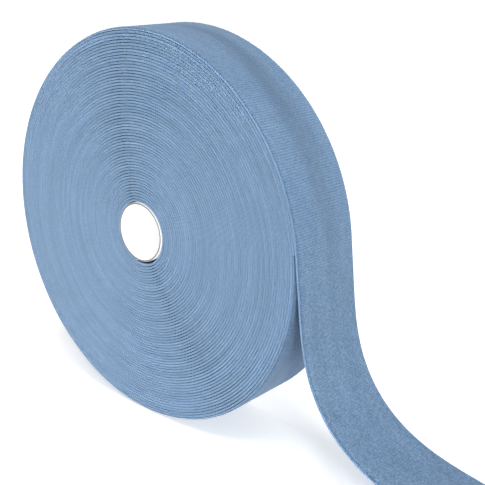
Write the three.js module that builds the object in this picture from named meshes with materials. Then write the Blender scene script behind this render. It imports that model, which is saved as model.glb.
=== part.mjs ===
// A roll of loop tape, the soft napped half of hook-and-loop fastener tape, standing on its rim.
// The tape is wound on a paperboard core tube, and its free end hangs off the roll and runs out on
// the floor. Millimetres, +Z up. The roll's axis runs along Y, the free end runs out towards +X, and
// the origin is on the floor, under the middle of the roll.
import * as THREE from 'three';

// The tape and the roll
const TAPE_WIDTH = 50;
const ROLL_RADIUS = 120;
const TURNS = 58.7;
const PILE_THICKNESS = 0.8;
const SELVEDGE_WIDTH = 4.5;

// The core tube, and the adhesive tab that holds the tape's inner end on it
const CORE_RADIUS = 18.2;
const CORE_WALL = 1.2;
const TAB_THICKNESS = 0.5;
const TAB_WIDTH = 30;
const TAB_ANGLE = THREE.MathUtils.degToRad(75);
const TAB_CLEARANCE = THREE.MathUtils.degToRad(3);

// The free end: it leaves the roll on a straight line, curls outwards, and comes down on the floor
const LEAVE_ANGLE = THREE.MathUtils.degToRad(6);
const CURL_ANGLE = THREE.MathUtils.degToRad(80);
const CURL_START = 30;
const CURL_END = 163;
const LANDING_RADIUS = 300;
const TAIL_LENGTH = 265;

// The free end flexes at a row of bend lines, the first one just clear of the roll
const TAIL_SEGMENTS = 5;
const FIRST_BEND = 15;

// Gaps between the layers, and between the ends of neighbouring segments
const LAYER_GAP = 0.1;
const GROUND_END_GAP = 0.6;
const PILE_END_GAP = 2;

// Fineness of the facets
const ROLL_STEPS = 72;
const CORE_STEPS = 36;
const TAIL_STEP = 6;
const WALK_STEP = 0.1;

const PITCH = (ROLL_RADIUS - CORE_RADIUS) / (TURNS + 1);
const FULL_TURN = 2 * Math.PI;
const HALF_FACET = Math.PI / ROLL_STEPS;
const RADIUS_AT_FLOOR = spiralRadius(LEAVE_ANGLE + Math.PI / 2 + HALF_FACET - FULL_TURN);
const AXIS_HEIGHT = RADIUS_AT_FLOOR * Math.cos(HALF_FACET) - LAYER_GAP;

const roll = new THREE.Group();
roll.position.z = AXIS_HEIGHT;

const looks = {
  paperboard: { color: 0xe9e6df, roughness: 0.85, metalness: 0 },
  tab: { color: 0xd8cfae, roughness: 0.5, metalness: 0 },
  winding: { color: 0x87a5c8, roughness: 0.9, metalness: 0 },
  ground: { color: 0x8dabd0, roughness: 0.8, metalness: 0 },
  pile: { color: 0x7694ba, roughness: 0.95, metalness: 0 },
};

// Outside of the tape on the roll, at an angle wound on from where it leaves: negative angles lie
// back on the roll, and each full turn is one pitch further in.
function spiralRadius(woundAngle) {
  return ROLL_RADIUS + (PITCH * woundAngle) / FULL_TURN;
}

// Point of the roll's cross-section at a wound angle and a radius: winding on runs clockwise.
function rollPoint(woundAngle, radius) {
  const angle = LEAVE_ANGLE - woundAngle;
  return new THREE.Vector2(radius * Math.cos(angle), radius * Math.sin(angle));
}

// Tilt of the free end out of the vertical, at a distance along it and a height above the floor.
function tailTilt(distance, height) {
  const curl = THREE.MathUtils.smoothstep(distance, CURL_START, CURL_END);
  const hanging = THREE.MathUtils.lerp(LEAVE_ANGLE, CURL_ANGLE, curl);
  if (distance < CURL_END) return hanging;
  const landing = Math.PI / 2 - Math.sqrt((2 * Math.max(height, 0)) / LANDING_RADIUS);
  return Math.max(hanging, landing);
}

// Walks down the pile side of the free end and notes its place and tilt at every small step.
function walkTail() {
  const stations = [];
  const place = rollPoint(0, ROLL_RADIUS);
  for (let distance = 0; distance <= TAIL_LENGTH; distance += WALK_STEP) {
    const tilt = tailTilt(distance, place.y - PITCH + AXIS_HEIGHT);
    stations.push({ x: place.x, z: place.y, tilt });
    place.x += WALK_STEP * Math.sin(tilt);
    place.y -= WALK_STEP * Math.cos(tilt);
  }
  return stations;
}

const tailStations = walkTail();

// Point of the free end at a distance along it and a depth below the pile side. No point lies
// below the floor.
function tailPoint(distance, depth) {
  const last = tailStations.length - 1;
  const station = tailStations[Math.min(Math.round(distance / WALK_STEP), last)];
  const x = station.x - depth * Math.cos(station.tilt);
  const z = station.z - depth * Math.sin(station.tilt);
  return new THREE.Vector2(x, Math.max(z, -AXIS_HEIGHT));
}

// Cross-section of a length of tape on the roll, between two depths below its outside. The pile is
// pressed flat where the roll stands on it.
function rollOutline(fromAngle, toAngle, nearDepth, farDepth) {
  const outside = [];
  const inside = [];
  const steps = Math.round((ROLL_STEPS * (toAngle - fromAngle)) / FULL_TURN);
  for (let i = 0; i <= steps; i += 1) {
    const angle = THREE.MathUtils.lerp(fromAngle, toAngle, i / steps);
    const radius = spiralRadius(angle);
    const outer = rollPoint(angle, radius - nearDepth);
    outer.y = Math.max(outer.y, -AXIS_HEIGHT);
    outside.push(outer);
    inside.push(rollPoint(angle, radius - farDepth));
  }
  return { outside, inside };
}

// The same for a length of the free end.
function tailOutline(from, to, nearDepth, farDepth) {
  const outside = [];
  const inside = [];
  const steps = Math.ceil((to - from) / TAIL_STEP);
  for (let i = 0; i <= steps; i += 1) {
    const distance = THREE.MathUtils.lerp(from, to, i / steps);
    outside.push(tailPoint(distance, nearDepth));
    inside.push(tailPoint(distance, farDepth));
  }
  return { outside, inside };
}

// Extrudes a cross-section along the roll's axis, centred on its middle, and hangs it in the roll.
function addPiece(name, shape, width, look) {
  const geometry = new THREE.ExtrudeGeometry(shape, { depth: width, bevelEnabled: false });
  geometry.rotateX(Math.PI / 2);
  const mesh = new THREE.Mesh(geometry, new THREE.MeshStandardMaterial(look));
  mesh.name = name;
  mesh.position.y = width / 2;
  roll.add(mesh);
}

function addStrip(name, outline, width, look) {
  addPiece(name, new THREE.Shape([...outline.outside, ...outline.inside.reverse()]), width, look);
}

function circle(radius, steps) {
  const points = [];
  for (let i = 0; i < steps; i += 1) {
    const angle = (FULL_TURN * i) / steps;
    points.push(new THREE.Vector2(radius * Math.cos(angle), radius * Math.sin(angle)));
  }
  return points;
}

// One whole turn of the spiral, taken anticlockwise, from the step at its end to that at its start.
function spiralTurn(startAngle, depth) {
  const points = [];
  for (let i = ROLL_STEPS; i >= 0; i -= 1) {
    const angle = startAngle + (FULL_TURN * i) / ROLL_STEPS;
    points.push(rollPoint(angle, spiralRadius(angle) - depth));
  }
  return points;
}

// The core tube
const coreShape = new THREE.Shape(circle(CORE_RADIUS, CORE_STEPS));
coreShape.holes.push(new THREE.Path(circle(CORE_RADIUS - CORE_WALL, CORE_STEPS)));
addPiece('core_tube', coreShape, TAPE_WIDTH, looks.paperboard);

// All the turns under the last one, as one solid. Its bore is the underside of the first turn, which
// rises by a pitch and leaves a wedge beside the tape's inner end.
const firstTurnStart = -TURNS * FULL_TURN;
const windingShape = new THREE.Shape(spiralTurn(-FULL_TURN, PITCH));
windingShape.holes.push(new THREE.Path(spiralTurn(firstTurnStart, PITCH - LAYER_GAP)));
addPiece('wound_tape', windingShape, TAPE_WIDTH, looks.winding);

// The adhesive tab lies on the core in that wedge, against the tape's inner end
const tabEnd = firstTurnStart - TAB_CLEARANCE;
const tabFrom = tabEnd - TAB_ANGLE;
const tabOutline = { outside: [], inside: [] };
const tabSteps = Math.round((CORE_STEPS * TAB_ANGLE) / FULL_TURN);
for (let i = 0; i <= tabSteps; i += 1) {
  const angle = THREE.MathUtils.lerp(tabFrom, tabEnd, i / tabSteps);
  tabOutline.outside.push(rollPoint(angle, CORE_RADIUS + LAYER_GAP + TAB_THICKNESS));
  tabOutline.inside.push(rollPoint(angle, CORE_RADIUS + LAYER_GAP));
}
addStrip('start_tab', tabOutline, TAB_WIDTH, looks.tab);

// The last turn and the free end: a woven ground, with the loop pile standing on its outer side
// between the two plain selvedges
const PILE_WIDTH = TAPE_WIDTH - 2 * SELVEDGE_WIDTH;
const GROUND_TOP = PILE_THICKNESS + LAYER_GAP;
const GROUND_BOTTOM = PITCH - LAYER_GAP;

// On the roll, the last turn runs on past the point where it leaves, up to the first bend line.
function lastTurnOutline(nearDepth, farDepth, endGap) {
  const wound = rollOutline(-FULL_TURN, 0, nearDepth, farDepth);
  const free = tailOutline(0, FIRST_BEND - endGap / 2, nearDepth, farDepth);
  return {
    outside: [...wound.outside, ...free.outside.slice(1)],
    inside: [...wound.inside, ...free.inside.slice(1)],
  };
}

const lastGround = lastTurnOutline(GROUND_TOP, GROUND_BOTTOM, GROUND_END_GAP);
const lastPile = lastTurnOutline(0, PILE_THICKNESS, PILE_END_GAP);
addStrip('last_turn_ground', lastGround, TAPE_WIDTH, looks.ground);
addStrip('last_turn_pile', lastPile, PILE_WIDTH, looks.pile);

const segmentLength = (TAIL_LENGTH - FIRST_BEND) / TAIL_SEGMENTS;
for (let i = 0; i < TAIL_SEGMENTS; i += 1) {
  const from = FIRST_BEND + i * segmentLength;
  const to = from + segmentLength;
  const ground = tailOutline(from + GROUND_END_GAP / 2, to - GROUND_END_GAP / 2, GROUND_TOP, GROUND_BOTTOM);
  const pile = tailOutline(from + PILE_END_GAP / 2, to - PILE_END_GAP / 2, 0, PILE_THICKNESS);
  addStrip(`tail_ground_${i + 1}`, ground, TAPE_WIDTH, looks.ground);
  addStrip(`tail_pile_${i + 1}`, pile, PILE_WIDTH, looks.pile);
}

export default roll;
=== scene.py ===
"""A roll of loop tape standing on its rim, with its free end running out on the floor.

Every visible layer of the tape is one function of the distance along it: negative distances lie on
the roll, positive ones on the free end. Metres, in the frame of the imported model.
"""

import math

import bpy
import numpy as np
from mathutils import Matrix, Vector


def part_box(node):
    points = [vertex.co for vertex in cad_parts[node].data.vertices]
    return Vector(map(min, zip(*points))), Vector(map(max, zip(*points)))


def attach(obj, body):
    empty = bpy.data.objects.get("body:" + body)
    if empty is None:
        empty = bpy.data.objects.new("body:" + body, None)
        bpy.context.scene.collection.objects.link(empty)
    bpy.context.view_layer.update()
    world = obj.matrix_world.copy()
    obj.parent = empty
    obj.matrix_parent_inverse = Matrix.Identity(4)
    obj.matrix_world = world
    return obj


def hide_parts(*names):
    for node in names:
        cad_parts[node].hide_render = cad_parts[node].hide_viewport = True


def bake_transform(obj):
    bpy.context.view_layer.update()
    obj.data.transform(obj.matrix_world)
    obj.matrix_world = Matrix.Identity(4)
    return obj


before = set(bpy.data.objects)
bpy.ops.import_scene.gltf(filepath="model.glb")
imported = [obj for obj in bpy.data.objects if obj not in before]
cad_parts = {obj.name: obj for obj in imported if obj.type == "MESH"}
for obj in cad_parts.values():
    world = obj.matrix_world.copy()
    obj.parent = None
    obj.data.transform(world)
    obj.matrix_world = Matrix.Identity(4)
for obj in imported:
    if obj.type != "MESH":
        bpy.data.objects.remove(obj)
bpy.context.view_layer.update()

MM = 0.001
FULL_TURN = 2 * math.pi

# ---------------------------------------------------------------- sizes, as in the CAD model
core_low, core_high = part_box("core_tube")
winding_low, winding_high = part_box("wound_tape")
CORE_RADIUS = (core_high.x - core_low.x) / 2
CORE_WALL = 1.2 * MM
AXIS_HEIGHT = (core_high.z + core_low.z) / 2
TAPE_WIDTH = winding_high.y - winding_low.y
ROLL_RADIUS = 120 * MM
TURNS = 58.7
PITCH = (ROLL_RADIUS - CORE_RADIUS) / (TURNS + 1)
LEAVE_ANGLE = math.radians(6)
CURL_ANGLE = math.radians(80)
CURL_START = 30 * MM
CURL_END = 163 * MM
LANDING_RADIUS = 300 * MM
TAIL_LENGTH = 265 * MM
TAIL_SEGMENTS = 5
FIRST_BEND = 15 * MM
SEGMENT_LENGTH = (TAIL_LENGTH - FIRST_BEND) / TAIL_SEGMENTS

# ---------------------------------------------------------------- the tape's own build
# Depths are measured from a turn's pile side towards the roll's axis.
GROUND_THICKNESS = 0.55 * MM
GROUND_TOP = PITCH - GROUND_THICKNESS
SELVEDGE_WIDTH = 1.3 * MM
SELVEDGE_COLUMNS = 9
SELVEDGE_UNDER_PILE = 0.6 * MM
EDGE_ROUNDING = 0.3 * MM
EDGE_INSET = 0.05 * MM
EDGE_CHAMFER = 0.2 * MM
CORD_PITCH = 0.9 * MM
CORD_HEIGHT = 0.07 * MM
RIB_PITCH = 1.5 * MM
PICK_PITCH = RIB_PITCH / 2
PICK_HEIGHT = 0.05 * MM
FINE_STEP = RIB_PITCH / 4

# The turns under the last one: a wide slot is left between their edges, where the pile is set back.
WOUND_GAP = 0.38 * MM
WOUND_SELVEDGE = 5 * MM
WOUND_SOFT = 0.06 * MM
WOUND_STEPS_PER_TURN = 240
WOUND_PILE_STEPS_PER_TURN = 120
WOUND_PILE_CLEARANCE = 0.02 * MM
CUT_ROUGHNESS = 0.035 * MM
SQUEEZE = 0.1 * MM
SQUEEZE_LENGTH = 40 * MM
FRAY = 0.8 * MM
FRAY_LENGTH = 2 * MM

# The loop pile of the last turn and the free end. A cell is the length and width of a noise patch.
PILE_HALF = TAPE_WIDTH / 2 - SELVEDGE_WIDTH
PILE_COLUMNS = 112
PILE_STAND = 0.92 * MM
PILE_RELIEF = 0.42 * MM
PILE_ROUNDING = 1.6 * MM
PILE_ROOT = 0.12 * MM
LOOP_SPACING = 1.3 * MM
SCALLOP = 0.22 * MM
FRINGE = 0.5 * MM
FRINGE_LENGTH = 1.1 * MM
ROW_WANDER = 0.45 * MM
ROW_CELL = (8 * MM, 6 * MM)
STAGGER_CELL = (2.2 * MM, 1.9 * MM)
CLUMP_CELL = (0.6 * MM, 0.7 * MM)
TUFT_CELL = (2.6 * MM, 3.4 * MM)
TUFT_HEIGHT = 0.07 * MM
ORDER_AT_LEAVE = 0.75
ORDER_FADE = 90 * MM
# Relief value of the pile's underside, which the material turns into a little painted shade.
UNDERSIDE_SHADE = 0.3

# A streak of painted shade along the last turn, where the loops are brushed flat, with painted sheen
# either side
NAP_STREAK = 5 * MM
NAP_WIDTH = 9 * MM
NAP_SWAY = 3 * MM
NAP_SWAY_LENGTH = 38 * MM
NAP_WANDER = 4 * MM
NAP_WANDER_LENGTH = 25 * MM
NAP_MIDDLE = -95 * MM
NAP_LENGTH = 130 * MM
NAP_PEAK = 1.15

# Sideways wander of the turns, and the slight flare of the tape's edges
DRIFT = 0.5 * MM
DRIFT_TURNS = 2.7
JITTER = 0.45 * MM
JITTER_TURNS = 0.55
LOOSE_TURNS = 22
TIGHT_SHARE = 0.35
WANDER_FADE = 50 * MM
FLARE = 0.2 * MM
FLARE_FROM = 15 * MM
FLARE_TURNS = 5
FLARE_AT_LEAVE = 0.4
FLARE_FADE = 80 * MM
FLARE_LIMIT = 1.1

# The core's liner seam and softened rims, and the crepe tab that holds the tape's inner end
CORE_RECESS = 0.1 * MM
CORE_RIM = 0.18 * MM
CORE_STEPS = 160
CORE_ROWS = 60
SEAM_PITCH = 62 * MM
SEAM_WIDTH = 0.7 * MM
SEAM_DEPTH = 0.09 * MM
TAB_GAP = 0.1 * MM
TAB_THICKNESS = 0.42 * MM
TAB_ANGLE = math.radians(75)
TAB_CLEARANCE = math.radians(3)
TAB_STEPS = 60
CREASE_HEIGHT = 0.05 * MM
CREASE_TURN = 2.1

# One seed for each noise field, and one for the edge roughness of the wound turns
DRIFT_SEED, JITTER_SEED, SQUEEZE_SEED, FRAY_SEED = 11, 12, 21, 31
ROW_SEED, CLUMP_SEED, TUFT_SEED, STAGGER_SEED, NAP_SEED = 41, 42, 43, 44, 45
FRINGE_SEED = 51
rng = np.random.default_rng(7)


# ---------------------------------------------------------------- the route of the tape
def length_at(angle):
    """Distance along the tape at a wound angle on the roll, both zero where the tape leaves it."""
    return ROLL_RADIUS * angle + PITCH * angle * angle / (2 * FULL_TURN)


def angle_at(distance):
    """Wound angle at a distance along the tape, the inverse of length_at."""
    root = np.sqrt(ROLL_RADIUS**2 + 2 * PITCH * distance / FULL_TURN)
    return (root - ROLL_RADIUS) * FULL_TURN / PITCH


def walk_tail(step=0.1 * MM):
    """Places and tilts of the free end's pile side, found by walking down it in small steps."""
    x = ROLL_RADIUS * math.cos(LEAVE_ANGLE)
    z = AXIS_HEIGHT + ROLL_RADIUS * math.sin(LEAVE_ANGLE)
    rows = []
    for i in range(int(round(TAIL_LENGTH / step)) + 2):
        distance = i * step
        share = min(max((distance - CURL_START) / (CURL_END - CURL_START), 0.0), 1.0)
        tilt = LEAVE_ANGLE + (CURL_ANGLE - LEAVE_ANGLE) * share * share * (3 - 2 * share)
        if distance >= CURL_END:
            height = max(z - PITCH, 0.0)
            tilt = max(tilt, math.pi / 2 - math.sqrt(2 * height / LANDING_RADIUS))
        rows.append((distance, x, z, tilt))
        x += step * math.sin(tilt)
        z -= step * math.cos(tilt)
    return np.array(rows)


TAIL = walk_tail()


def route(distance):
    """Place (x, z) of the tape's pile side and its outward normal, at distances along the tape."""
    s = np.asarray(distance, float)
    wound = np.minimum(s, 0.0)
    angle = angle_at(wound)
    radius = ROLL_RADIUS + PITCH * angle / FULL_TURN
    bearing = LEAVE_ANGLE - angle
    tilt = np.interp(s, TAIL[:, 0], TAIL[:, 3])
    on_tail = s > 0
    x = np.where(on_tail, np.interp(s, TAIL[:, 0], TAIL[:, 1]), radius * np.cos(bearing))
    z = np.where(
        on_tail, np.interp(s, TAIL[:, 0], TAIL[:, 2]), AXIS_HEIGHT + radius * np.sin(bearing)
    )
    turned = np.where(on_tail, tilt, bearing)
    return x, z, np.cos(turned), np.sin(turned)


# ---------------------------------------------------------------- smooth random fields
def lattice(i, j, seed):
    """A repeatable random value from 0 to 1 at each whole-number place."""
    n = i.astype(np.int64) * 374761393 + j.astype(np.int64) * 668265263 + seed * 974634777
    n = (n ^ (n >> 13)) * 1274126177
    n = n ^ (n >> 16)
    return (n & 0xFFFFFF).astype(float) / 0xFFFFFF


def noise(u, v, cell_u, cell_v, seed):
    """Smooth noise from 0 to 1 over the tape, with cells of a given length and width."""
    a, b = u / cell_u, v / cell_v
    i, j = np.floor(a), np.floor(b)
    fa, fb = a - i, b - j
    fa, fb = fa * fa * (3 - 2 * fa), fb * fb * (3 - 2 * fb)
    low = lattice(i, j, seed) * (1 - fa) + lattice(i + 1, j, seed) * fa
    high = lattice(i, j + 1, seed) * (1 - fa) + lattice(i + 1, j + 1, seed) * fa
    return low * (1 - fb) + high * fb


def noise_along(u, cell, seed):
    """Smooth noise from -0.5 to 0.5 that depends on the place along the tape only."""
    return noise(u, np.zeros_like(u), cell, 1.0, seed) - 0.5


def sideways(s):
    """How far the tape wanders along the axis as it is wound, a little more in the outer turns."""
    angle = angle_at(np.minimum(s, 0.0))
    turn = angle / FULL_TURN
    drift = DRIFT * noise_along(turn, DRIFT_TURNS, DRIFT_SEED)
    jitter = JITTER * noise_along(turn, JITTER_TURNS, JITTER_SEED)
    outer = np.clip(1 + turn / LOOSE_TURNS, 0.0, 1.0)
    share = TIGHT_SHARE + (1 - TIGHT_SHARE) * outer
    return share * (drift + jitter) * np.clip(-s / WANDER_FADE, 0, 1)


def flare(s, y):
    """How far the tape's edges stand out from the roll, towards its two faces."""
    from_core = TURNS + angle_at(np.minimum(s, 0.0)) / FULL_TURN
    started = np.clip(from_core / FLARE_TURNS, 0.0, 1.0)
    kept = np.clip(FLARE_AT_LEAVE - s / FLARE_FADE, 0.0, 1.0)
    over = np.clip((np.abs(y) - FLARE_FROM) / (TAPE_WIDTH / 2 - FLARE_FROM), 0.0, FLARE_LIMIT)
    return FLARE * started * kept * over * over


# ---------------------------------------------------------------- mesh helpers
def add_to_scene(name, mesh, material):
    piece = bpy.data.objects.new(name, mesh)
    bpy.context.scene.collection.objects.link(piece)
    mesh.materials.append(material)
    return piece


def new_piece(name, points, faces, material, smooth=True):
    mesh = bpy.data.meshes.new(name)
    mesh.from_pydata(points, [], faces)
    mesh.update()
    mesh.polygons.foreach_set("use_smooth", np.full(len(mesh.polygons), smooth))
    return add_to_scene(name, mesh, material)


def strip(name, s, across, depth, material, smooth=True, **attributes):
    """A closed length of tape: one ring of points at each distance s.

    across and depth are (stations, ring) arrays: the place along the roll's axis, and the depth
    below the pile side. The rings run from the front edge over the pile side and back underneath.
    Each further argument is stored as a value at every point, for the material to read.
    """
    x, z, nx, nz = route(s)
    stations, ring = across.shape
    depth = depth - flare(s[:, None], across)
    px = x[:, None] - nx[:, None] * depth
    pz = np.maximum(z[:, None] - nz[:, None] * depth, 0.0)
    points = np.stack([px, across, pz], axis=2).reshape(-1, 3)
    mesh = bpy.data.meshes.new(name)
    base = (np.arange(stations - 1) * ring)[:, None]
    k = np.arange(ring)[None, :]
    after = (k + 1) % ring
    quads = np.stack([base + k, base + after, base + ring + after, base + ring + k], axis=2)
    quads = quads.reshape(-1, 4)
    first_cap = np.arange(ring)[::-1]
    last_cap = np.arange(ring) + (stations - 1) * ring
    loops = np.concatenate([quads.ravel(), first_cap, last_cap]).astype(np.int32)
    starts = np.concatenate([np.arange(len(quads)) * 4, [len(quads) * 4, len(quads) * 4 + ring]])
    mesh.vertices.add(len(points))
    mesh.vertices.foreach_set("co", points.astype(np.float32).ravel())
    mesh.loops.add(len(loops))
    mesh.loops.foreach_set("vertex_index", loops)
    mesh.polygons.add(len(starts))
    mesh.polygons.foreach_set("loop_start", starts.astype(np.int32))
    mesh.update(calc_edges=True)
    mesh.polygons.foreach_set("use_smooth", np.full(len(starts), smooth))
    edge_points = np.zeros(len(mesh.edges) * 2, np.int32)
    mesh.edges.foreach_get("vertices", edge_points)
    rows = edge_points.reshape(-1, 2) // ring
    at_end = (rows[:, 0] == rows[:, 1]) & ((rows[:, 0] == 0) | (rows[:, 0] == stations - 1))
    sharp = mesh.attributes.new("sharp_edge", "BOOLEAN", "EDGE")
    sharp.data.foreach_set("value", at_end)
    along = np.repeat(s, ring)
    wide = across.ravel()
    uv = mesh.uv_layers.new(name="tape")
    pairs = np.stack([along[loops], wide[loops]], axis=1)
    uv.data.foreach_set("uv", pairs.astype(np.float32).ravel())
    for label, values in attributes.items():
        attribute = mesh.attributes.new(label, "FLOAT", "POINT")
        attribute.data.foreach_set("value", values.astype(np.float32).ravel())
    return add_to_scene(name, mesh, material)


# ---------------------------------------------------------------- materials
WHITE = (1, 1, 1, 1)


def shader(name, colour, roughness, sheen=0.0, specular=0.2):
    """A new material with its nodes, links and shader, set to one plain colour."""
    material = bpy.data.materials.new(name)
    material.use_nodes = True
    nodes, links = material.node_tree.nodes, material.node_tree.links
    principled = nodes["Principled BSDF"]
    principled.inputs["Base Color"].default_value = (*colour, 1)
    principled.inputs["Roughness"].default_value = roughness
    principled.inputs["Specular IOR Level"].default_value = specular
    principled.inputs["Sheen Weight"].default_value = sheen
    principled.inputs["Sheen Roughness"].default_value = 0.45
    return material, nodes, links, principled


def glow(principled, strength):
    principled.inputs["Emission Color"].default_value = WHITE
    principled.inputs["Emission Strength"].default_value = strength


def grey(value):
    return (value,) * 3


def shade(colour, factor):
    return tuple(c * factor for c in colour)


def tape_space(nodes, links, scale_along, scale_across):
    """The tape's own coordinates, in metres, scaled along and across."""
    uv = nodes.new("ShaderNodeUVMap")
    uv.uv_map = "tape"
    mapping = nodes.new("ShaderNodeMapping")
    mapping.inputs["Scale"].default_value = (scale_along, scale_across, 1)
    links.new(uv.outputs["UV"], mapping.inputs["Vector"])
    return mapping.outputs["Vector"]


def point_value(nodes, label):
    """A value stored at every point of the mesh."""
    node = nodes.new("ShaderNodeAttribute")
    node.attribute_name = label
    return node.outputs["Fac"]


def noise_node(nodes, links, vector, scale=1.0, detail=2.0):
    node = nodes.new("ShaderNodeTexNoise")
    node.inputs["Scale"].default_value = scale
    node.inputs["Detail"].default_value = detail
    links.new(vector, node.inputs["Vector"])
    return node.outputs["Fac"]


def ramp(nodes, links, value, stops):
    """Colours at places from 0 to 1, and in between them."""
    node = nodes.new("ShaderNodeValToRGB")
    elements = node.color_ramp.elements
    while len(elements) < len(stops):
        elements.new(0.5)
    for element, (place, colour) in zip(elements, stops):
        element.position = place
        element.color = (*colour, 1)
    links.new(value, node.inputs["Fac"])
    return node.outputs["Color"]


def mixed(nodes, links, first, second, mode="MULTIPLY"):
    """Two colours mixed in full, and the node's factor to link where they are mixed by share."""
    node = nodes.new("ShaderNodeMix")
    node.data_type = "RGBA"
    node.blend_type = mode
    node.inputs["Factor"].default_value = 1.0
    links.new(first, node.inputs["A"])
    links.new(second, node.inputs["B"])
    return node.outputs["Result"], node.inputs["Factor"]


def bump(nodes, links, height, strength, distance, target):
    node = nodes.new("ShaderNodeBump")
    node.inputs["Strength"].default_value = strength
    node.inputs["Distance"].default_value = distance
    links.new(height, node.inputs["Height"])
    links.new(node.outputs["Normal"], target)


def weft_node(nodes, links, vector, scale):
    """Slightly uneven threads across the tape."""
    node = nodes.new("ShaderNodeTexWave")
    node.bands_direction = "X"
    node.inputs["Scale"].default_value = scale
    node.inputs["Distortion"].default_value = 1.5
    node.inputs["Detail"].default_value = 1.0
    links.new(vector, node.inputs["Vector"])
    return node.outputs["Fac"]


def woven_material(name, colour):
    """Nylon ground weave: fine warp and weft, with a slow drift of shade along the tape.

    The walls of the slots between the turns get painted light near the tape's edges, up to 2.2
    times its colour against their shade, and painted shade where they lie deep in the slot.
    """
    material, nodes, links, principled = shader(name, colour, 0.72, sheen=0.03, specular=0.08)
    principled.inputs["Subsurface Weight"].default_value = 1.0
    principled.inputs["Subsurface Radius"].default_value = (1, 1, 1)
    principled.inputs["Subsurface Scale"].default_value = 1.7 * MM
    vector = tape_space(nodes, links, 1000, 1000)
    slow = noise_node(nodes, links, tape_space(nodes, links, 14, 60))
    fine = noise_node(nodes, links, vector, scale=1.4, detail=3.0)
    drift = ramp(nodes, links, slow, [(0.3, shade(colour, 0.9)), (0.7, shade(colour, 1.09))])
    grain = ramp(nodes, links, fine, [(0.25, grey(0.8)), (0.75, grey(1.12))])
    spread = nodes.new("ShaderNodeMapRange")
    spread.inputs["From Min"].default_value = -1.0
    links.new(point_value(nodes, "inwards"), spread.inputs["Value"])
    # Painted light and shade for the slot walls: lighter than the tape near the mouth against their
    # shade, painted shade deeper in.
    painted_deep_shade, clear = (0.02, 0.05, 0.15), (1, 1, 1)
    painted_light_back, painted_light_roots = (2.2, 2.0, 1.8), (2.0, 1.85, 1.7)
    slot_painted_light_and_shade = ramp(
        nodes, links, spread.outputs["Result"],
        [(0.29, painted_deep_shade), (0.36, painted_light_roots), (0.44, painted_light_roots), (0.485, clear), (0.505, clear),
         (0.53, painted_light_back), (0.63, painted_light_back), (0.7, painted_deep_shade)],
    )
    surface, _ = mixed(nodes, links, drift, grain)
    toned, _ = mixed(nodes, links, surface, slot_painted_light_and_shade)
    links.new(toned, principled.inputs["Base Color"])
    weft = weft_node(nodes, links, vector, scale=0.45)
    bump(nodes, links, weft, 0.35, 0.2 * MM, principled.inputs["Normal"])
    return material


def pile_material(name, colour):
    """Napped loops, with painted shade between the rows and painted light on their tops, and a slow
    random drift of tint.
    """
    material, nodes, links, principled = shader(name, colour, 0.9, sheen=0.15)
    # Painted shade where the loops are low and painted light on their tops, read from the relief
    # value.
    depth = ramp(
        nodes, links, point_value(nodes, "relief"),
        [(0.0, shade(colour, 0.15)), (0.05, shade(colour, 0.66)), (0.4, colour),
         (0.8, shade(colour, 1.4))],
    )
    threads = noise_node(nodes, links, tape_space(nodes, links, 2100, 900), detail=3.0)
    grain = ramp(nodes, links, threads, [(0.3, grey(0.86)), (0.7, grey(1.14))])
    slow = noise_node(nodes, links, tape_space(nodes, links, 18, 120))
    drift = ramp(nodes, links, slow, [(0.32, (0.9, 0.92, 0.95)), (0.68, (1.08, 1.06, 1.04))])
    surface, _ = mixed(nodes, links, depth, grain)
    toned, _ = mixed(nodes, links, surface, drift)
    links.new(toned, principled.inputs["Base Color"])
    bump(nodes, links, threads, 0.5, 0.3 * MM, principled.inputs["Normal"])
    return material


def paper_material(name, colour, board):
    """White liner inside the core tube, and the grey layered board of its cut ends."""
    material, nodes, links, principled = shader(name, colour, 0.82)
    place = nodes.new("ShaderNodeNewGeometry").outputs["Position"]
    fibres = noise_node(nodes, links, place, scale=900, detail=4.0)
    liner = ramp(nodes, links, fibres, [(0.3, shade(colour, 0.93)), (0.7, shade(colour, 1.04))])
    layers = noise_node(nodes, links, place, scale=2600)
    cut = ramp(nodes, links, layers, [(0.35, shade(board, 0.7)), (0.65, shade(board, 1.2))])
    toned, factor = mixed(nodes, links, liner, cut, mode="MIX")
    links.new(point_value(nodes, "cut_end"), factor)
    links.new(toned, principled.inputs["Base Color"])
    bump(nodes, links, fibres, 0.2, 0.2 * MM, principled.inputs["Normal"])
    # The paper glows a little: painted light that keeps the liner near white in the shade of the
    # bore.
    glow(principled, 0.12)
    return material


def crepe_material(name, colour):
    """Creased paper tape."""
    material, nodes, links, principled = shader(name, colour, 0.55)
    place = nodes.new("ShaderNodeNewGeometry").outputs["Position"]
    creases = noise_node(nodes, links, place, scale=1400, detail=3.0)
    tone = ramp(nodes, links, creases, [(0.3, shade(colour, 0.85)), (0.7, shade(colour, 1.08))])
    links.new(tone, principled.inputs["Base Color"])
    bump(nodes, links, creases, 0.4, 0.2 * MM, principled.inputs["Normal"])
    return material


weave = woven_material("tape_weave", (0.162, 0.252, 0.38))
loops = pile_material("loop_pile", (0.094, 0.156, 0.243))
paper = paper_material("white_paperboard", (0.92, 0.92, 0.91), board=(0.13, 0.12, 0.115))
crepe = crepe_material("crepe_tab", (0.66, 0.6, 0.44))


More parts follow.
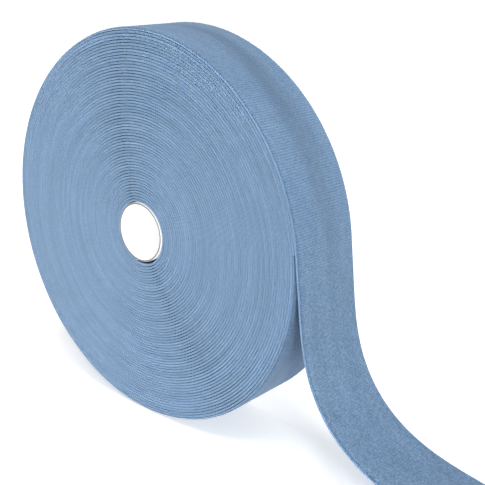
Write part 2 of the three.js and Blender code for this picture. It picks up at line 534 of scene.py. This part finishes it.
# ---------------------------------------------------------------- the layers of the tape
def ground_ring(s):
    """Ring of the woven ground: rounded edges, corded selvedges, flat underneath."""
    half = TAPE_WIDTH / 2
    selvedge = np.linspace(half - EDGE_ROUNDING, PILE_HALF - SELVEDGE_UNDER_PILE, SELVEDGE_COLUMNS)
    top_half = np.concatenate([[half, half - EDGE_INSET], selvedge])
    top = np.concatenate([-top_half, top_half[::-1]])
    inset, rounded = half - EDGE_INSET, half - EDGE_ROUNDING
    ring = np.concatenate([top, [inset, rounded, -rounded, -inset]])
    level = np.full(len(ring), GROUND_TOP)
    level[[0, len(top) - 1]] = (GROUND_TOP + PITCH) / 2
    level[[1, len(top) - 2]] = GROUND_TOP + EDGE_CHAMFER
    level[len(top) :] = PITCH
    level[[len(top), -1]] = PITCH - EDGE_CHAMFER
    across = np.tile(ring, (len(s), 1)) + sideways(s)[:, None]
    return across, np.tile(level, (len(s), 1))


def wound_stations(steps_per_turn):
    """Distances along the tape, in even steps of angle over every turn under the last one."""
    angles = np.linspace(-TURNS * FULL_TURN, -FULL_TURN, int((TURNS - 1) * steps_per_turn))
    return length_at(angles)


def wound_ground():
    """Every turn under the last one, as one continuous woven strip.

    The value inwards is 0 at the tape's edges, and grows to 1 between the turns on its smooth
    side and to -1 on its pile side. The material paints light and shade on the slot walls by it.
    """
    s = wound_stations(WOUND_STEPS_PER_TURN)
    half, under_pile = TAPE_WIDTH / 2, TAPE_WIDTH / 2 - WOUND_SELVEDGE
    back_edge = [(under_pile, WOUND_GAP, -1.0), (half - WOUND_SOFT, WOUND_GAP, 0.0),
                 (half, WOUND_GAP + WOUND_SOFT, 0.0), (half, PITCH - WOUND_SOFT, 0.0),
                 (half - WOUND_SOFT, PITCH, 0.0), (under_pile, PITCH, 1.0)]
    front_edge = [(-y, depth, deep) for y, depth, deep in back_edge[::-1]]
    profile = np.array(back_edge + front_edge)
    across = np.tile(profile[:, 0], (len(s), 1))
    rough = rng.normal(0, CUT_ROUGHNESS, (len(s), 2))
    across[:, 2:4] += rough[:, :1]
    across[:, 8:10] -= rough[:, 1:]
    squeeze = SQUEEZE * noise_along(s, SQUEEZE_LENGTH, SQUEEZE_SEED)
    depth = np.tile(profile[:, 1], (len(s), 1)) + squeeze[:, None]
    deep = np.tile(profile[:, 2], (len(s), 1))
    across = across + sideways(s)[:, None]
    return strip("wound_turns_weave", s, across, depth, weave, smooth=False, inwards=deep)


def wound_pile():
    """The loop pile pressed between the turns, set back from the tape's edges."""
    s = wound_stations(WOUND_PILE_STEPS_PER_TURN)
    half = TAPE_WIDTH / 2 - WOUND_SELVEDGE + FRAY * noise_along(s, FRAY_LENGTH, FRAY_SEED)
    across = np.stack([-half, half, half, -half], axis=1)
    top, bottom = WOUND_PILE_CLEARANCE, WOUND_GAP
    depth = np.tile([top, top, bottom, bottom], (len(s), 1))
    return strip("wound_turns_pile", s, across, depth, loops)


def fine_stations(start, end):
    return np.linspace(start, end, int(round((end - start) / FINE_STEP)) + 1)


def last_ground(name, start, end):
    """Woven ground of the last turn or of one piece of the free end."""
    s = fine_stations(start, end)
    across, depth = ground_ring(s)
    cords = CORD_HEIGHT * np.cos(across * FULL_TURN / CORD_PITCH)
    picks = PICK_HEIGHT * np.cos(s * FULL_TURN / PICK_PITCH)
    on_top = np.abs(depth - GROUND_TOP) < 0.01 * MM
    depth = depth + np.where(on_top, cords + picks[:, None], 0.0)
    return strip(name, s, across, depth, weave)


def pile_relief(s, y):
    """Relief of the pile from 0 to 1: rows of loops across the tape, staggered and uneven.

    The rows are clear on the roll, and give way to loose clumps along the free end.
    """
    row = (s + ROW_WANDER * (noise(s, y, *ROW_CELL, ROW_SEED) - 0.5)) / RIB_PITCH
    rib = 0.5 + 0.5 * np.cos(row * FULL_TURN)
    stagger = np.round(row) * 0.5 + 0.9 * noise(s, y, *STAGGER_CELL, STAGGER_SEED)
    loop = 0.5 + 0.5 * np.cos((y / LOOP_SPACING + stagger) * FULL_TURN)
    clumps = noise(s, y, *CLUMP_CELL, CLUMP_SEED)
    order = np.clip(ORDER_AT_LEAVE - s / ORDER_FADE, 0.3, 1.0)
    return np.clip(order * rib * (0.2 + 0.42 * loop) + (0.75 - 0.3 * order) * clumps, 0, 1)


def nap_shade_and_sheen(s, y):
    """Share of painted shade from 0 to 1, where the loops are brushed flat: most in a broad streak
    along the last turn, with painted sheen outside it.
    """
    sway = NAP_SWAY * np.sin(s / NAP_SWAY_LENGTH)
    sway = sway + NAP_WANDER * noise_along(s, NAP_WANDER_LENGTH, NAP_SEED)
    streak = np.exp(-(((y - NAP_STREAK - sway) / NAP_WIDTH) ** 2))
    return streak * np.clip(NAP_PEAK - np.abs(s - NAP_MIDDLE) / NAP_LENGTH, 0, 1)


def last_pile(name, start, end):
    """Loop pile of the last turn or of one piece of the free end."""
    s = fine_stations(start, end)
    scallop = SCALLOP * np.cos(s * FULL_TURN / RIB_PITCH)
    half = PILE_HALF + scallop + FRINGE * noise_along(s, FRINGE_LENGTH, FRINGE_SEED)
    y = half[:, None] * np.linspace(-1, 1, PILE_COLUMNS)[None, :]
    grid_s = np.repeat(s[:, None], PILE_COLUMNS, axis=1)
    rise = np.clip((half[:, None] - np.abs(y)) / PILE_ROUNDING, 0, 1)
    rise = np.sqrt(rise * (2 - rise))
    relief = pile_relief(grid_s, y)
    tufts = noise(grid_s, y, *TUFT_CELL, TUFT_SEED)
    height = (PILE_STAND + PILE_RELIEF * relief + TUFT_HEIGHT * tufts) * rise
    across = np.concatenate([y, half[:, None], -half[:, None]], axis=1) + sideways(s)[:, None]
    under = np.full((len(s), 2), GROUND_TOP + PILE_ROOT)
    depth = np.concatenate([GROUND_TOP - height, under], axis=1)
    # Painted light and shade for the pile, stored as its relief value: lighter on high loops, painted
    # shade in the brushed streak with painted sheen beside it, darker where the pile rounds down at
    # its edges and on its underside.
    nap_shade_share = nap_shade_and_sheen(grid_s, y)
    tone = (relief * (1 - 0.5 * nap_shade_share) + 0.1 * (1 - nap_shade_share)) * (0.7 + 0.3 * rise)
    pile_painted_light_and_shade = np.concatenate([tone, np.full((len(s), 2), UNDERSIDE_SHADE)], axis=1)
    return strip(name, s, across, depth, loops, relief=pile_painted_light_and_shade)


def settle(nodes):
    """Hide the CAD parts that a piece stands for."""
    if nodes:
        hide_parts(*nodes)


# ---------------------------------------------------------------- the roll
wound_weave = wound_ground()
wound_loops = wound_pile()
settle(["wound_tape"])
settle([])
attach(wound_weave, "roll")
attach(wound_loops, "roll")

last_start = math.ceil(length_at(-FULL_TURN) / RIB_PITCH) * RIB_PITCH
last_weave = last_ground("last_turn_weave", last_start, 0.0)
last_loops = last_pile("last_turn_loops", last_start, 0.0)
settle(["last_turn_ground"])
settle(["last_turn_pile"])
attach(last_weave, "roll")
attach(last_loops, "roll")


# Neighbouring pieces meet half-way between two hinges, on a whole rib.
edges = [0.0]
for i in range(1, TAIL_SEGMENTS):
    middle = FIRST_BEND + (i - 0.5) * SEGMENT_LENGTH
    edges.append(round(middle / RIB_PITCH) * RIB_PITCH)
edges.append(TAIL_LENGTH)
for i in range(TAIL_SEGMENTS):
    start, end = edges[i], edges[i + 1]
    tail_weave = last_ground(f"tail_weave_{i + 1}", start, end)
    tail_loops = last_pile(f"tail_loops_{i + 1}", start, end)
    for piece, slot, node in (
        (tail_weave, "tape_ground", f"tail_ground_{i + 1}"),
        (tail_loops, "loop_pile", f"tail_pile_{i + 1}"),
    ):
        settle([node])
        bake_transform(piece)


# ---------------------------------------------------------------- the core tube and its tab
def core_tube():
    """Paperboard tube with a helical seam in its liner and softened rims.

    The value cut_end is 1 on the cut ends, where the bare board shows.
    """
    inner, outer = CORE_RADIUS - CORE_WALL, CORE_RADIUS
    half = TAPE_WIDTH / 2 - CORE_RECESS
    inner_rim, outer_rim, shoulder = inner + CORE_RIM, outer - CORE_RIM, half - CORE_RIM
    angles = np.arange(CORE_STEPS) * FULL_TURN / CORE_STEPS
    profile = [(inner, y, 0.0) for y in np.linspace(-shoulder, shoulder, CORE_ROWS)]
    profile += [(inner_rim, half, 1.0), (outer_rim, half, 1.0), (outer, shoulder, 0.0)]
    profile += [(outer, -shoulder, 0.0), (outer_rim, -half, 1.0), (inner_rim, -half, 1.0)]
    points, cut = [], []
    for angle in angles:
        for radius, y, is_cut in profile:
            lead = (y - SEAM_PITCH * angle / FULL_TURN) % SEAM_PITCH
            lead = min(lead, SEAM_PITCH - lead)
            if radius == inner:
                radius = radius + SEAM_DEPTH * math.exp(-((lead / SEAM_WIDTH) ** 2))
            points.append((radius * math.cos(angle), y, AXIS_HEIGHT + radius * math.sin(angle)))
            cut.append(is_cut)
    ring = len(profile)
    faces = []
    for i in range(CORE_STEPS):
        for k in range(ring):
            a, b = i * ring, ((i + 1) % CORE_STEPS) * ring
            n = (k + 1) % ring
            faces.append((a + k, a + n, b + n, b + k))
    piece = new_piece("core_tube_paper", points, faces, paper)
    attribute = piece.data.attributes.new("cut_end", "FLOAT", "POINT")
    attribute.data.foreach_set("value", cut)
    return piece


core = core_tube()
settle(["core_tube"])
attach(core, "roll")


def start_tab():
    """Crepe adhesive tab over the core, against the tape's inner end."""
    tab_low, tab_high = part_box("start_tab")
    half = (tab_high.y - tab_low.y) / 2
    inner = CORE_RADIUS + TAB_GAP
    end = -TURNS * FULL_TURN - TAB_CLEARANCE
    angles = np.linspace(end - TAB_ANGLE, end, TAB_STEPS)
    points = []
    for i, angle in enumerate(angles):
        bearing = LEAVE_ANGLE - angle
        outer = inner + TAB_THICKNESS + CREASE_HEIGHT * math.sin(i * CREASE_TURN)
        for y, radius in ((-half, inner), (-half, outer), (half, outer), (half, inner)):
            points.append((radius * math.cos(bearing), y, AXIS_HEIGHT + radius * math.sin(bearing)))
    faces = []
    for i in range(len(angles) - 1):
        for k in range(4):
            n = (k + 1) % 4
            faces.append((4 * i + k, 4 * i + n, 4 * i + 4 + n, 4 * i + 4 + k))
    faces.append((3, 2, 1, 0))
    last = 4 * (len(angles) - 1)
    faces.append((last, last + 1, last + 2, last + 3))
    return new_piece("crepe_tab", points, faces, crepe, smooth=False)


tab = start_tab()
settle(["start_tab"])
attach(tab, "roll")


# ---------------------------------------------------------------- floor, lights and camera
FLOOR_HALF = 40.0
FLOOR_DROP = 0.5 * MM
FLOOR_COLOUR = (0.93, 0.93, 0.935)
# The floor glows a little more from the first distance to the second.
FLOOR_GLOW_FROM, FLOOR_GLOW_TO = 0.2, 1.2
FLOOR_GLOW_NEAR, FLOOR_GLOW_FAR = 0.4, 0.5
SKY_LIGHT = 0.54

# The camera stands at a bearing and elevation from the roll's middle, and looks a little past it.
CAMERA_DISTANCE = 4.574 * ROLL_RADIUS
CAMERA_PLACE = (46.5, 16.9)
CAMERA_BACK = (41.6, 18.2)
CAMERA_LENS = 65.7
CAMERA_SENSOR = 36


def make_floor():
    """Pale floor that glows, so that it stays near white in the soft shadows."""
    material, nodes, links, principled = shader("pale_floor", FLOOR_COLOUR, 0.9, specular=0.05)
    place = nodes.new("ShaderNodeNewGeometry").outputs["Position"]
    distance = nodes.new("ShaderNodeVectorMath")
    distance.operation = "LENGTH"
    links.new(place, distance.inputs[0])
    far = nodes.new("ShaderNodeMapRange")
    far.inputs["From Min"].default_value = FLOOR_GLOW_FROM
    far.inputs["From Max"].default_value = FLOOR_GLOW_TO
    far.inputs["To Min"].default_value = FLOOR_GLOW_NEAR
    far.inputs["To Max"].default_value = FLOOR_GLOW_FAR
    links.new(distance.outputs["Value"], far.inputs["Value"])
    glow(principled, FLOOR_GLOW_NEAR)
    links.new(far.outputs["Result"], principled.inputs["Emission Strength"])
    h = FLOOR_HALF
    corners = [(-h, -h, 0), (h, -h, 0), (h, h, 0), (-h, h, 0)]
    floor = new_piece("studio_floor", corners, [(0, 1, 2, 3)], material, smooth=False)
    floor.location.z = -FLOOR_DROP


def towards(bearing, elevation):
    """Unit vector from the roll: bearing turns from -Y towards +X, in degrees."""
    turn, lift = math.radians(bearing), math.radians(elevation)
    flat = math.cos(lift)
    return Vector((math.sin(turn) * flat, -math.cos(turn) * flat, math.sin(lift)))


def make_light(name, bearing, elevation, distance, size, power, spread=180, height=AXIS_HEIGHT):
    """Round soft light that faces the roll's middle plane at a height, its beam spread in degrees."""
    target = Vector((0, 0, height))
    position = target + distance * towards(bearing, elevation)
    data = bpy.data.lights.new(name, "AREA")
    data.shape = "DISK"
    data.size = size
    data.energy = power
    data.spread = math.radians(spread)
    light = bpy.data.objects.new(name, data)
    light.location = position
    light.rotation_euler = (target - position).to_track_quat("-Z", "Y").to_euler()
    bpy.context.scene.collection.objects.link(light)


def make_camera():
    """The camera, with its focal length and sensor width in millimetres."""
    data = bpy.data.cameras.new("camera")
    data.sensor_width = CAMERA_SENSOR
    data.lens = CAMERA_LENS
    data.clip_start = 0.01
    data.clip_end = 100
    camera = bpy.data.objects.new("camera", data)
    middle = Vector((0, 0, AXIS_HEIGHT))
    camera.location = middle + CAMERA_DISTANCE * towards(*CAMERA_PLACE)
    camera.rotation_euler = towards(*CAMERA_BACK).to_track_quat("Z", "Y").to_euler()
    bpy.context.scene.collection.objects.link(camera)
    bpy.context.scene.camera = camera


def make_world():
    """A backdrop seen pure white beyond the floor, which lights the roll at a lower strength."""
    world = bpy.data.worlds.new("studio")
    world.use_nodes = True
    nodes, links = world.node_tree.nodes, world.node_tree.links
    light, backdrop = nodes["Background"], nodes.new("ShaderNodeBackground")
    light.inputs["Color"].default_value = WHITE
    light.inputs["Strength"].default_value = SKY_LIGHT
    backdrop.inputs["Color"].default_value = WHITE
    ray = nodes.new("ShaderNodeLightPath")
    seen_or_lit = nodes.new("ShaderNodeMixShader")
    links.new(ray.outputs["Is Camera Ray"], seen_or_lit.inputs[0])
    links.new(light.outputs["Background"], seen_or_lit.inputs[1])
    links.new(backdrop.outputs["Background"], seen_or_lit.inputs[2])
    links.new(seen_or_lit.outputs[0], nodes["World Output"].inputs["Surface"])
    bpy.context.scene.world = world


make_floor()
make_light("key", bearing=56, elevation=22, distance=1.8, size=0.35, power=13)
make_light("front", bearing=18, elevation=8, distance=1.05, size=0.2, power=0.55)
make_light("low", bearing=-8, elevation=4, distance=0.9, size=0.15, power=0.01, spread=18,
           height=20 * MM)
make_light("top", bearing=60, elevation=68, distance=1.8, size=1.0, power=27)
make_camera()
make_world()
bpy.context.scene.view_settings.view_transform = "Standard"
